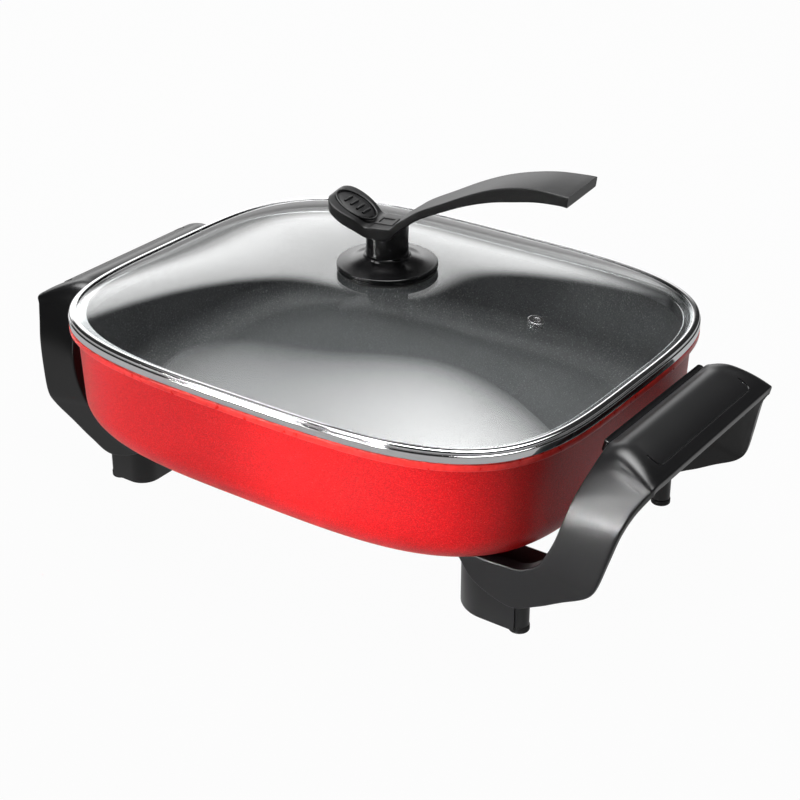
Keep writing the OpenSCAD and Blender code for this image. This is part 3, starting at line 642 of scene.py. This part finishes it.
def make_rim():
    """The rim's fold: bead, groove and top lip outside, glass ledge and skirt inside."""
    lip_under = dome(1 - (RIM_TOP_LIP - GLASS_IN) / (HALF_WID - GLASS_IN)) + 0.1
    bead_low_z = LIP_Z - SEAT_H + BEAD_GAP
    groove_z = RIM_Z - GROOVE_DROP
    ledge_z = GLASS_EDGE_Z - GLASS_T - 0.05
    section = [(BEAD_T, RIM_LOW_Z), (BEAD_T, bead_low_z), (0, bead_low_z), (0, groove_z - 0.5),
               (BEAD_T, groove_z), (0.5, RIM_Z - 1.5), (0.7, RIM_Z - 0.6), (1.6, RIM_Z),
               (3, RIM_Z + 0.1),
               (RIM_TOP_LIP, lip_under + 0.5), (RIM_TOP_LIP, lip_under),
               (GLASS_IN - 0.1, GLASS_EDGE_Z + 0.1), (GLASS_IN - 0.1, ledge_z),
               (SKIRT_IN + RIM_T, ledge_z), (SKIRT_IN + RIM_T, RIM_LOW_Z - SKIRT_DROP),
               (SKIRT_IN, RIM_LOW_Z - SKIRT_DROP), (SKIRT_IN, RIM_LOW_Z)]
    piece("rolled_rim", stacked(rounded(section, 1.0, 4), ring=True), RIM_STEEL, "lid",
          ["lid_rim"])


def make_vent():
    """The steam vent's eyelet, square to the slope of the glass."""
    share = VENT_X / (HALF_LEN - GLASS_IN)
    rise = (dome(share - 0.01) - dome(share + 0.01)) / (0.02 * (HALF_LEN - GLASS_IN))
    c, s = math.cos(math.atan(rise)), math.sin(math.atan(rise))
    low, high, thick = -VENT_BELOW, VENT_ABOVE, VENT_FLANGE_T
    section = [(VENT_HOLE_R, low), (VENT_FLANGE_R, low), (VENT_FLANGE_R, low + thick),
               (VENT_TUBE_R, low + thick), (VENT_TUBE_R, high - thick),
               (VENT_FLANGE_R, high - thick), (VENT_FLANGE_R, high), (VENT_HOLE_R, high)]

    def tilted(points):
        x, z = points[:, 0], points[:, 2]
        return np.column_stack([VENT_X + x * c + z * s, points[:, 1],
                                dome(share) - x * s + z * c])

    piece("steam_eyelet", moved(lathe(rounded(section, 0.45, 4), (0, 0), 64, ring=True), tilted),
          BRIGHT_STEEL, "lid", ["vent_eyelet"])


# ------------------------------------------------------------------ knob

# Shares of reach and rise, the thickness, and a share of the width or of its growth
PAD_STATIONS = [
    [1, 0.964, 6, 0.42], [0.95, 1, 7.4, 0.67], [0.84, 0.886, 7, 0.92], [0.65, 0.643, 7.5, 1],
    [0.43, 0.343, 7.7, 0.91], [0.26, 0, 6.6, 0.8], [0.12, 0, 7.4, 0.75], [-0.02, 0, 8, 0.72],
    [-0.19, 0.01, 7, 0.68]]
BLADE_STATIONS = [
    [0.085, 0.095, 6.2, 0], [0.14, 0.215, 5.8, 0], [0.207, 0.351, 5.5, 0.06],
    [0.331, 0.534, 5.6, 0.17], [0.455, 0.715, 6.5, 0.28], [0.579, 0.863, 8, 0.32],
    [0.702, 0.956, 8.9, 0.43], [0.826, 1, 8, 0.68], [0.95, 0.99, 6.6, 0.93], [1, 0.978, 6.5, 1]]
LEVER_ROUND = 1.2
LEVER_CROWN = 0.4
STEM_SIDES = 160
BORE_R = 3.5
TIP_SLANT = 2.2
TIP_HOLLOW = 1.6
TIP_UNDERCUT = 0.8
INLAY = (14.0, 11.4)
INLAY_X = -0.575 * PAD_REACH
INLAY_Z = HUB_Z + 0.54 * PAD_RISE
PAD_SLOPE = math.atan2((0.886 - 0.343) * PAD_RISE, (0.84 - 0.43) * PAD_REACH)
CAP_SIDE = 12.0
RIB_PITCH = 4.4
RIB_REACH = 4.6
RIB_LEAN = 0.9


def at_lever(points):
    """Points of the lever's own frame, turned and moved to the knob."""
    c, s = math.cos(LEVER_TURN), math.sin(LEVER_TURN)
    return np.column_stack([KNOB_X + points[:, 0] * c - points[:, 1] * s,
                            points[:, 0] * s + points[:, 1] * c, points[:, 2]])


def on_pad(points):
    """Points of the thumb pad's own slope, taken to the lever's frame."""
    c, s = math.cos(PAD_SLOPE), math.sin(PAD_SLOPE)
    return np.column_stack([INLAY_X + points[:, 0] * c + points[:, 2] * s, points[:, 1],
                            INLAY_Z - points[:, 0] * s + points[:, 2] * c])


def lever_section(row):
    """A section of the lever, slanted and hollowed as it nears the blade's tip."""
    position, high, thick, width, near = row
    low = high - thick
    half = width / 2
    y, z = np.array(rounded([(-half, low), (half, low), (half, high), (-half, high)],
                            LEVER_ROUND, 5)).T
    v = y / half
    crown = LEVER_CROWN * (1 - v * v) * (z > high - 0.05)
    x = (position + near * (TIP_SLANT * v - TIP_HOLLOW * (1 - v * v))
         - near ** 4 * TIP_UNDERCUT * (high - z) / thick)
    return np.column_stack([x, y, z + crown])


def make_knob_foot(lever_rows):
    """The seal and the knob's round foot, whose stem ends under the lever."""
    centre = (KNOB_X, 0)
    seal_r = KNOB_R - 0.6
    seal = rounded([(BORE_R, CROWN_Z), (seal_r, CROWN_Z), (seal_r, DISC_Z), (BORE_R, DISC_Z)],
                   0.5, 3)
    piece("knob_seal", lathe(seal, centre, ring=True), RUBBER, "lid", ["knob_gasket"])

    edge_z = DISC_Z + DISC_H
    stem_z = edge_z + DISC_RISE
    side = rounded([(0.01, DISC_Z), (KNOB_R, DISC_Z), (KNOB_R, DISC_Z + 1.3),
                    (KNOB_R - 0.6, DISC_Z + 1.5), (KNOB_R, DISC_Z + 1.7), (KNOB_R, edge_z),
                    (KNOB_R - 1.9, edge_z + 0.1)], 0.7, 4, False)
    crown = smoothed([(KNOB_R - 2.3, edge_z + 0.15), (KNOB_R - 8, edge_z + 0.24 * DISC_RISE),
                      (STEM_R + 4.5, edge_z + 0.64 * DISC_RISE), (STEM_R + 1.6, stem_z - 0.7)], 8)
    root = (arc((STEM_R + 0.6, stem_z + 0.1), 0.8, -20, 110, 8)
            + [(STEM_R, stem_z + 1.1), (STEM_R, HUB_Z - 10)])
    end_rings = [(STEM_R * k, HUB_Z - 8) for k in (1, 0.98, 0.8, 0.6, 0.4, 0.2, 0.01)]
    points, faces = lathe(side + list(crown) + root + end_rings, centre, STEM_SIDES)
    end = points[-len(end_rings) * STEM_SIDES:]
    across = (end[:, 0] - KNOB_X) * math.cos(LEVER_TURN) + end[:, 1] * math.sin(LEVER_TURN)
    end[:, 2] = np.interp(across, [row[0] for row in lever_rows],
                          [row[1] - row[2] + 0.3 for row in lever_rows])
    piece("knob_foot", (points, faces), KNOB_BLACK, "lid", ["knob_base"])


def make_knob():
    pad = [(-s[0] * PAD_REACH, HUB_Z + s[1] * PAD_RISE, s[2], s[3] * PAD_W, 0)
           for s in smoothed(PAD_STATIONS, 6)]
    blade = [(s[0] * BLADE_REACH, HUB_Z + s[1] * BLADE_RISE, s[2],
              BLADE_ROOT_W + s[3] * (BLADE_TIP_W - BLADE_ROOT_W), max(0, s[0] - 0.7) / 0.3)
             for s in smoothed(BLADE_STATIONS, 8)]
    make_knob_foot(pad + blade)
    rows = [at_lever(lever_section(row)) for row in pad + blade]
    piece("lever", loft(rows), LEVER_BLACK, "lid", ["knob_lever"], crease=50)

    oval = [(math.cos(t), math.sin(t)) for t in np.linspace(0, 2 * math.pi, 64, endpoint=False)]
    plate = prism([(INLAY[0] * 0.86 * x, INLAY[1] * 0.86 * y) for x, y in oval], -0.9, 0.35, 0.3)
    bezel = tube([(INLAY[0] * x, INLAY[1] * y, 0.25) for x, y in oval], 0.8, 12, closed=True)
    ribs = [tube([(k * RIB_PITCH + RIB_LEAN * t, RIB_REACH * (2 * t - 1),
                   0.55 + 0.25 * math.sin(math.pi * t)) for t in np.linspace(0, 1, 9)], 0.75, 10)
            for k in (-1.5, -0.5, 0.5, 1.5)]
    inlay = moved(joined(plate, bezel, *ribs), lambda p: at_lever(on_pad(p)))
    piece("thumb_oval", inlay, LEVER_BLACK, "lid", ["thumb_inlay"])

    half = CAP_SIDE / 2
    square = [(-half, -half), (half, -half), (half, half), (-half, half)]
    cap_rows = [[(x * k, y * k, z) for x, y in square]
                for k, z in ((0.99, -1.2), (0.99, 0.35), (0.94, 0.6), (0.68, 0.6),
                             (0.63, 0.35), (0.6, -0.6))]
    cap = moved(loft(cap_rows), lambda p: at_lever(p + np.array([0, 0, HUB_Z])))
    piece("square_cap", cap, LEVER_BLACK, "lid", ["screw_cap"])


# ------------------------------------------------------------------ handles

# Inner and outer edge of a leg: across and up, from its tip to the arm
LEG_STATIONS = [
    ((-71, 45), (-107.5, 39)), ((-62, 45), (-96.5, 26.5)), ((-52, 45), (-73.5, 19)),
    ((-40.5, 45.5), (-56.5, 25.5)), ((-33, 46), (-40.5, 34.5)), ((-25, 49.5), (-26, 42.5)),
    ((-18.5, 55.5), (-20.3, 50))]
# Inner and outer edge of an arm, both flange depths and the bulge, from the leg to the grip
ARM_STATIONS = [
    ((-11.8, PLATE_Y - 1.7, 69.5), (-15.7, PLATE_Y - 3.2, 67), 8, 4, 0),
    ((-8, PLATE_Y - 5, 84), (-11.5, PLATE_Y - 7.5, 84), 8, 4.5, 0),
    ((-5.5, PLATE_Y - 11.5, 97), (-7.5, PLATE_Y - 13, 96), 9, 5, 0.5),
    ((-2, PLATE_Y - 23.5, 111), (-3, PLATE_Y - 18.5, 105), 10, 5, 1.5),
    ((0, GRIP_LEN_IN / 2, GRIP_Z), (0, GRIP_LEN_OUT / 2, GRIP_Z - GRIP_FALL), 12, 5,
     GRIP_CROWN - 1)]
EDGE_R = 1.2
CROWN_PEAK = 0.35
BAND_STEPS = 10
CROWN_STEPS = 18
GRIP_FLANGES = (14, 5)
SHELL_BACK_Y = 60.0
SHELF_BACK_Y = 67.0
SHELF_OUT_X = 168.0
LINE_R = 0.55
LINE_PLACE = 0.84
LINE_SPAN = 0.86

Side = namedtuple("Side", "drop inward shell_in shell_out post_x corner_r")
RIGHT_SIDE = Side(0, 0, 109.5, 156.5, 156, 24)
LEFT_SIDE = Side(5.5, 4, 124, 151.5, 151, 12)


def seated(point, side):
    """A point of the front half, moved to where its side has it."""
    low, high = SHELF_Z, GRIP_Z - GRIP_FALL
    rise = min(1.0, max(0.0, (point[2] - low) / (high - low)))
    return [point[0] - side.inward * (1 - rise), -point[1], point[2] - side.drop * rise]


def handle_stations(side):
    """Inner edge, outer edge, flange depths and bulge, from one leg tip to the other."""
    half = [[seated((GRIP_IN_X + i[0], PLATE_Y, i[1]), side),
             seated((GRIP_OUT_X + o[0], PLATE_Y, o[1]), side), 8, SHELL_T, 0]
            for i, o in LEG_STATIONS]
    half += [[seated((GRIP_IN_X + i[0], i[1], i[2]), side),
              seated((GRIP_OUT_X + o[0], o[1], o[2]), side), a, b, c]
             for i, o, a, b, c in ARM_STATIONS]
    half += [[seated((GRIP_IN_X, k * GRIP_LEN_IN / 2, GRIP_Z), side),
              seated((GRIP_OUT_X, k * GRIP_LEN_OUT / 2, GRIP_Z - GRIP_FALL), side),
              *GRIP_FLANGES, GRIP_CROWN] for k in (0.8, 0.4, 0)]
    rows = [[*s[0], *s[1], *s[2:]] for s in half]
    mirror = [[r[0], -r[1], r[2], r[3], -r[4], r[5], *r[6:]] for r in reversed(rows[:-1])]
    return rows + mirror


def bump_height(u):
    """Height of the bulge at a share u of the way from the inner to the outer edge."""
    if u < CROWN_PEAK:
        return 1 - (1 - u / CROWN_PEAK) ** 2
    return 1 - ((u - CROWN_PEAK) / (1 - CROWN_PEAK)) ** 2


def band_section(width, inner_deep, outer_deep, bulge):
    """Across and down of the handle's channel section."""
    e, t = EDGE_R, SHELL_T
    top = [(e + u * (width - 2 * e), -bulge * bump_height(u))
           for u in np.linspace(0, 1, CROWN_STEPS + 1)]
    under = [(t + u * (width - 2 * t), t - bulge * bump_height(u))
             for u in np.linspace(1, 0, CROWN_STEPS + 1)]
    bend = [(0, e), (0.08 * e, 0.6 * e), (0.3 * e, 0.3 * e), (0.6 * e, 0.08 * e)]
    far_bend = [(width - across, down) for across, down in reversed(bend)]
    return ([(0, inner_deep)] + bend + top + far_bend
            + [(width, outer_deep), (width - t, outer_deep)] + under + [(t, inner_deep)])


def band_rows(side):
    """The channel's sections from one leg tip over the grip to the other."""
    band = smoothed(handle_stations(side), BAND_STEPS)
    rows = []
    for i, row in enumerate(band):
        inner, outer = row[0:3], row[3:6]
        before, after = band[max(0, i - 1)], band[min(len(band) - 1, i + 1)]
        across = unit(outer - inner)
        run = (after[0:3] + after[3:6]) - (before[0:3] + before[3:6])
        out = unit(np.cross(across, run))
        section = band_section(np.linalg.norm(outer - inner), *row[6:9])
        rows.append(np.array([inner + across * p[0] - out * p[1] for p in section]))
    return rows


def leg_plan(x_in, x_out, face_y, radius):
    """Plan of a leg shell: a wall that follows the plate and turns back under the pan."""
    outer = [(x_out, face_y)] + arc((x_in + radius, face_y - radius), radius, 90, 180, 12)
    outer = [p for p in outer if p[1] > SHELL_BACK_Y] + [(x_in, SHELL_BACK_Y)]
    inner = arc((x_in + radius, face_y - radius), radius - SHELL_T, 180, 90, 12)
    inner = [(x_in + SHELL_T, SHELL_BACK_Y)] + [p for p in inner if p[1] > SHELL_BACK_Y]
    return outer + inner + [(x_out, face_y - SHELL_T)]


def leg_solids(side):
    """The leg shell, shelf and post of one end of a handle."""
    face_y = PLATE_Y - SHELL_T + 0.5
    shelf_mid = SHELF_Z - SHELF_T / 2
    shell = prism(leg_plan(side.shell_in, side.shell_out, face_y, side.corner_r),
                  LEG_GAP, shelf_mid)
    start, end = side.shell_in + 1, SHELF_OUT_X - side.inward
    shelf_plan = [(start, SHELF_BACK_Y), (end, SHELF_BACK_Y), (end, face_y),
                  (side.shell_in + side.corner_r, face_y), (start, face_y - side.corner_r + 1)]
    shelf = prism(rounded(shelf_plan, 3), SHELF_Z - SHELF_T, SHELF_Z)
    post = lathe([(0.01, FOOT_H), (POST_R, FOOT_H), (POST_R, shelf_mid), (0.01, shelf_mid)],
                 (side.post_x, FOOT_Y), 48)
    return joined(shell, shelf, post)


def trim_bar(side):
    """The round-ended bar along a grip's inner edge, with a shallow channel in its top."""
    width, height, length, rim = 4.5, 7.0, GRIP_LEN_IN - 6, 0.8
    tilt = math.atan2(GRIP_FALL, GRIP_W)

    def plan(shrink):
        half = length / 2 - width / 2
        radius = width / 2 - shrink
        return arc((0, half), radius, 0, 180, 14) + arc((0, -half), radius, 180, 360, 14)

    levels = [(0.3, 0), (0, 0.4), (0, height - 0.5), (0.15, height - 0.15), (0.4, height),
              (rim - 0.15, height), (rim, height - 0.15), (rim + 0.1, height - 0.7)]
    rows = [[(x, y, z) for x, y in plan(shrink)] for shrink, z in levels]

    def place(points):
        x = points[:, 0] + 0.6 - width / 2
        z = points[:, 2] - height - 0.6
        c, s = math.cos(tilt), math.sin(tilt)
        return np.column_stack([GRIP_IN_X + x * c + z * s, points[:, 1],
                                GRIP_Z - side.drop - x * s + z * c])

    return moved(loft(rows), place)


def grip_line(side):
    """The fine raised line near a grip's outer edge, hooked inward at both ends."""
    along = unit(np.array([GRIP_W, 0, -GRIP_FALL]))
    above = np.array([-along[2], 0, along[0]])
    path = []
    for t in np.linspace(-1, 1, 61):
        hook = max(0.0, (abs(t) - 0.86) / 0.14)
        u = LINE_PLACE - 0.26 * hook ** 2
        y = t * (1 - 0.04 * hook ** 2) * LINE_SPAN
        reach = EDGE_R + u * (math.hypot(GRIP_W, GRIP_FALL) - 2 * EDGE_R)
        half = (1 - u) * GRIP_LEN_IN / 2 + u * GRIP_LEN_OUT / 2
        path.append(np.array([GRIP_IN_X, y * half, GRIP_Z - side.drop]) + along * reach
                    + above * (GRIP_CROWN * bump_height(u) - 0.15))
    return tube(path, LINE_R, 10)


def make_handle(name, side, flip):
    """A handle moulding with its trim bar and line, on the right or mirrored to the left."""
    leg = leg_solids(side)
    parts = joined(loft(band_rows(side)), leg, mirrored(leg, 1))
    bar, line = trim_bar(side), grip_line(side)
    if flip:
        parts, bar, line = mirrored(parts, 0), mirrored(bar, 0), mirrored(line, 0)
    piece("moulding_" + name, parts, HANDLE_BLACK, "base", ["handle_" + name],
          crease=40)
    piece("trim_bar_" + name, bar, TRIM_BLACK, "base", ["grip_bar_" + name])
    piece("grip_line_" + name, line, TRIM_BLACK, "base")


def make_feet():
    profile = rounded([(0.01, 0), (FOOT_R, 0), (FOOT_R, FOOT_H), (0.01, FOOT_H)], 0.9, 4, False)
    for node in ("foot_front_right", "foot_rear_right", "foot_front_left", "foot_rear_left"):
        low, high = box(node)
        centre = ((low[0] + high[0]) / 2, (low[1] + high[1]) / 2)
        piece("rubber_" + node, lathe(profile, centre, 48), RUBBER, "base", [node])


make_pan()
make_glass()
make_rim()
make_vent()
make_knob()
make_handle("right", RIGHT_SIDE, False)
make_handle("left", LEFT_SIDE, True)
make_feet()


# ------------------------------------------------------------------ room

CAMERA_AT = Vector((0.5830, -0.8102, 0.5855))
CAMERA_LOOKS_AT = Vector((0.0239, -0.0164, 0.0776))
CAMERA_LENS = 79.90
FLOOR_HALF = 4.0
FLOOR_GREY = 0.14
FLOOR_WHITE = 0.97
MIRROR_SHARE = 0.45
COVE_TOP = 0.12
COVE_LIGHT = 0.6
CEILING_LIGHT = 0.02
ROOM_LIGHT = 0.04
FADE_FROM = 0.3

camera = bpy.data.objects.new("camera", bpy.data.cameras.new("camera"))
camera.data.lens = CAMERA_LENS
camera.data.sensor_width = 36.0
camera.location = CAMERA_AT
camera.rotation_euler = (CAMERA_LOOKS_AT - CAMERA_AT).to_track_quat("-Z", "Y").to_euler()
bpy.context.scene.collection.objects.link(camera)
bpy.context.scene.camera = camera


def shown_rays(sheet):
    """How far a ray shows the room, by camera, mirror or glass; and the camera rays alone."""
    camera_ray = sheet.node("LightPath", {}, {}, "Is Camera Ray")
    mirror_ray = sheet.node("LightPath", {}, {}, "Is Glossy Ray")
    glass_ray = sheet.node("LightPath", {}, {}, "Is Transmission Ray")
    bounces = sheet.node("LightPath", {}, {}, "Diffuse Depth")
    unscattered = sheet.sum_of("LESS_THAN", bounces, 0.5)
    any_ray = sheet.sum_of("MINIMUM", camera_ray + mirror_ray * MIRROR_SHARE + glass_ray, 1.0)
    return any_ray * unscattered, camera_ray


def make_floor():
    """A grey floor for shadows under a white one that the camera sees."""
    half = FLOOR_HALF
    mesh = bpy.data.meshes.new("floor")
    mesh.from_pydata([(-half, -half, 0), (half, -half, 0), (half, half, 0), (-half, half, 0)],
                     [], [(0, 1, 2, 3)])
    finish = bpy.data.materials.new("pale_floor")
    finish.use_nodes = True
    sheet = Sheet(finish.node_tree)
    seen, _ = shown_rays(sheet)
    paper = sheet.node("BsdfDiffuse", {}, {"Color": (FLOOR_GREY, FLOOR_GREY, FLOOR_GREY, 1.0)})
    white = sheet.node("Emission", {}, {"Color": (1.0, 1.0, 1.0, 1.0)})
    mixed = sheet.node("MixShader", {}, {0: seen * FLOOR_WHITE, 1: paper, 2: white})
    sheet.node("OutputMaterial", {}, {"Surface": mixed})
    mesh.materials.append(finish)
    floor = bpy.data.objects.new("floor", mesh)
    bpy.context.scene.collection.objects.link(floor)


def make_room():
    """White to the camera; in mirrors, a white cove below a dim ceiling."""
    world = bpy.data.worlds.new("studio")
    bpy.context.scene.world = world
    world.use_nodes = True
    sheet = Sheet(world.node_tree)
    seen, camera_ray = shown_rays(sheet)
    way = sheet.node("TexCoord", {}, {}, "Generated")
    height = sheet.node("SeparateXYZ", {}, {0: way}, "Z")
    cove = sheet.step(height, 0.0, COVE_TOP, COVE_LIGHT, CEILING_LIGHT)
    mirror = cove * (1 - camera_ray) + camera_ray
    light = mirror * seen + ROOM_LIGHT * (1 - seen)
    white = sheet.node("Background", {}, {"Color": (1.0, 1.0, 1.0, 1.0), "Strength": light})
    sheet.node("OutputWorld", {}, {"Surface": white})


def lamp(name, at, towards, width, height, power, spread=180.0, faded=False):
    """A soft lamp panel, even or faded toward its edges."""
    data = bpy.data.lights.new(name, "AREA")
    if faded:
        data.use_nodes = True
        sheet = Sheet(data.node_tree)
        spot = sheet.node("NewGeometry", {}, {}, "Parametric")
        across = sheet.node("SeparateXYZ", {}, {0: spot}, "X")
        up = sheet.node("SeparateXYZ", {}, {0: spot}, "Y")
        off = (across * 2 - 1) ** 2 + (up * 2 - 1) ** 2
        glow = sheet.node("Emission", {}, {"Strength": sheet.step(off, FADE_FROM, 1.0, 1.0, 0.0)})
        sheet.node("OutputLight", {}, {"Surface": glow})
    data.shape = "RECTANGLE"
    data.size = width
    data.size_y = height
    data.energy = power
    data.spread = math.radians(spread)
    made = bpy.data.objects.new(name, data)
    made.location = at
    made.rotation_euler = (Vector(towards) - Vector(at)).to_track_quat("-Z", "Y").to_euler()
    made.visible_camera = False
    bpy.context.scene.collection.objects.link(made)


make_floor()
make_room()
# Narrow beams for the near wall, its right corner and the right arm, then wide soft panels
lamp("key", (-0.487, -0.853, 0.262), (-0.006, -0.172, 0.085), 0.28, 0.2, 0.172, 8.6)
lamp("corner", (-0.12, -1.2, 0.24), (0.104, -0.156, 0.062), 0.2, 0.2, 0.07, 3.6)
lamp("side", (-0.47, -1.74, 0.98), (0, 0, 0.1), 0.5, 0.5, 6)
lamp("arm_low", (-0.205, -1.649, 0.907), (0.21, -0.1, 0.09), 0.2, 0.2, 0.016, 6)
lamp("arm_high", (-0.412, -0.845, 1.24), (0.2, -0.075, 0.11), 0.3, 0.3, 0.045, 8)
lamp("overhead", (-0.35, 0.55, 1.6), (-0.35, 0.55, 0), 1.9, 1.3, 23, 84)
lamp("backdrop_light", (-1.1, 1.02, 0.57), (0, 0, 0.57), 2.4, 0.88, 14, faded=True)

bpy.context.scene.view_settings.view_transform = "Standard"
